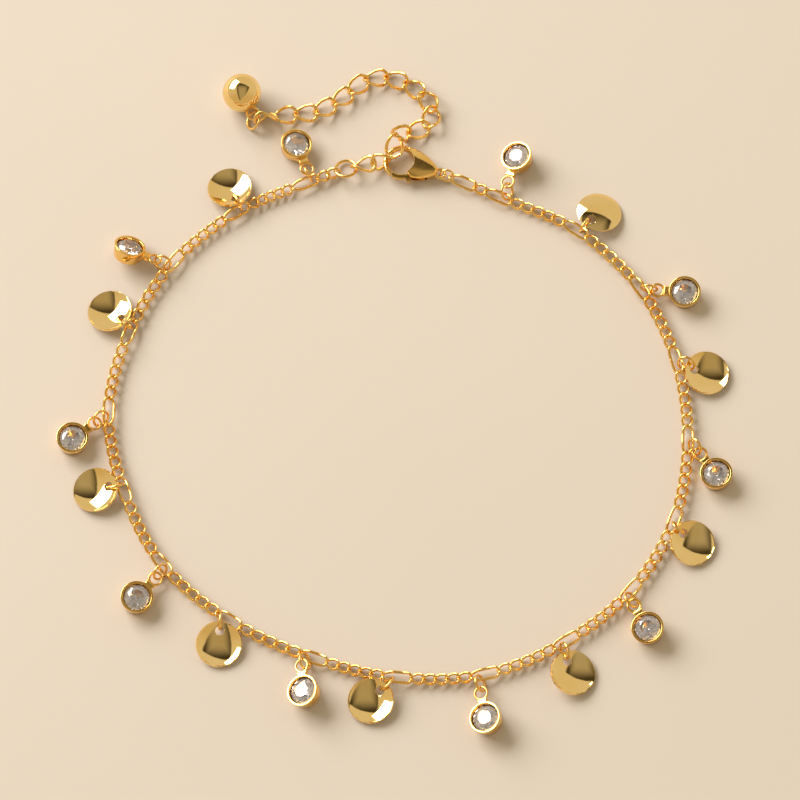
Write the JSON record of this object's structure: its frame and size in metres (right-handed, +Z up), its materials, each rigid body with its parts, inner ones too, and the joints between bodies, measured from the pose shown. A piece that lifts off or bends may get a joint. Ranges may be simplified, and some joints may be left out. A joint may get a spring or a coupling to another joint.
{
  "type": "anklet",
  "caption": "Gold-plated figaro chain anklet with round stone drops and dished disc drops, a lobster clasp and an extender chain ending in a ball.",
  "frame": {"origin": "middle of the anklet's footprint, on the surface it lies on", "axes": "+Z up from the surface; +Y towards the clasp and extender, away from the viewer; +X to the viewer's right"},
  "size_m": [0.0876, 0.0932, 0.0051],
  "materials": {
    "gold_plate": "polished gold plate over brass",
    "polished_gold": "mirror-polished gold plate",
    "clear_stone": "clear cut stone"
  },
  "bodies": {
    "anklet": {"main_chain": "gold_plate", "extender_chain": "gold_plate", "ball_ring": "gold_plate", "ball_drop": "polished_gold", "clasp_body": "gold_plate", "clasp_ring": "gold_plate", "end_ring": "gold_plate", "drop_ring_01": "gold_plate", "bezel_01": "gold_plate", "stone_01": "clear_stone", "drop_ring_02": "gold_plate", "disc_02": "polished_gold", "drop_ring_03": "gold_plate", "bezel_03": "gold_plate", "stone_03": "clear_stone", "drop_ring_04": "gold_plate", "disc_04": "polished_gold", "drop_ring_05": "gold_plate", "bezel_05": "gold_plate", "stone_05": "clear_stone", "drop_ring_06": "gold_plate", "disc_06": "polished_gold", "drop_ring_07": "gold_plate", "bezel_07": "gold_plate", "stone_07": "clear_stone", "drop_ring_08": "gold_plate", "disc_08": "polished_gold", "drop_ring_09": "gold_plate", "bezel_09": "gold_plate", "stone_09": "clear_stone", "drop_ring_10": "gold_plate", "disc_10": "polished_gold", "drop_ring_11": "gold_plate", "bezel_11": "gold_plate", "stone_11": "clear_stone", "drop_ring_12": "gold_plate", "disc_12": "polished_gold", "drop_ring_13": "gold_plate", "bezel_13": "gold_plate", "stone_13": "clear_stone", "drop_ring_14": "gold_plate", "disc_14": "polished_gold", "drop_ring_15": "gold_plate", "bezel_15": "gold_plate", "stone_15": "clear_stone", "drop_ring_16": "gold_plate", "disc_16": "polished_gold", "drop_ring_17": "gold_plate", "bezel_17": "gold_plate", "stone_17": "clear_stone", "drop_ring_18": "gold_plate", "disc_18": "polished_gold", "drop_ring_19": "gold_plate", "bezel_19": "gold_plate", "stone_19": "clear_stone"},
    "lever": {"clasp_lever": "gold_plate"}
  },
  "joints": [
    {"name": "lever_hinge", "type": "hinge", "parent": "anklet", "child": "lever", "pos_m": [0.00372, 0.03118, 0.001], "axis": [0, 0, -1], "range_deg": [0, 25], "stiffness_Nm_per_rad": 0.004, "springref_deg": -11.46}
  ]
}
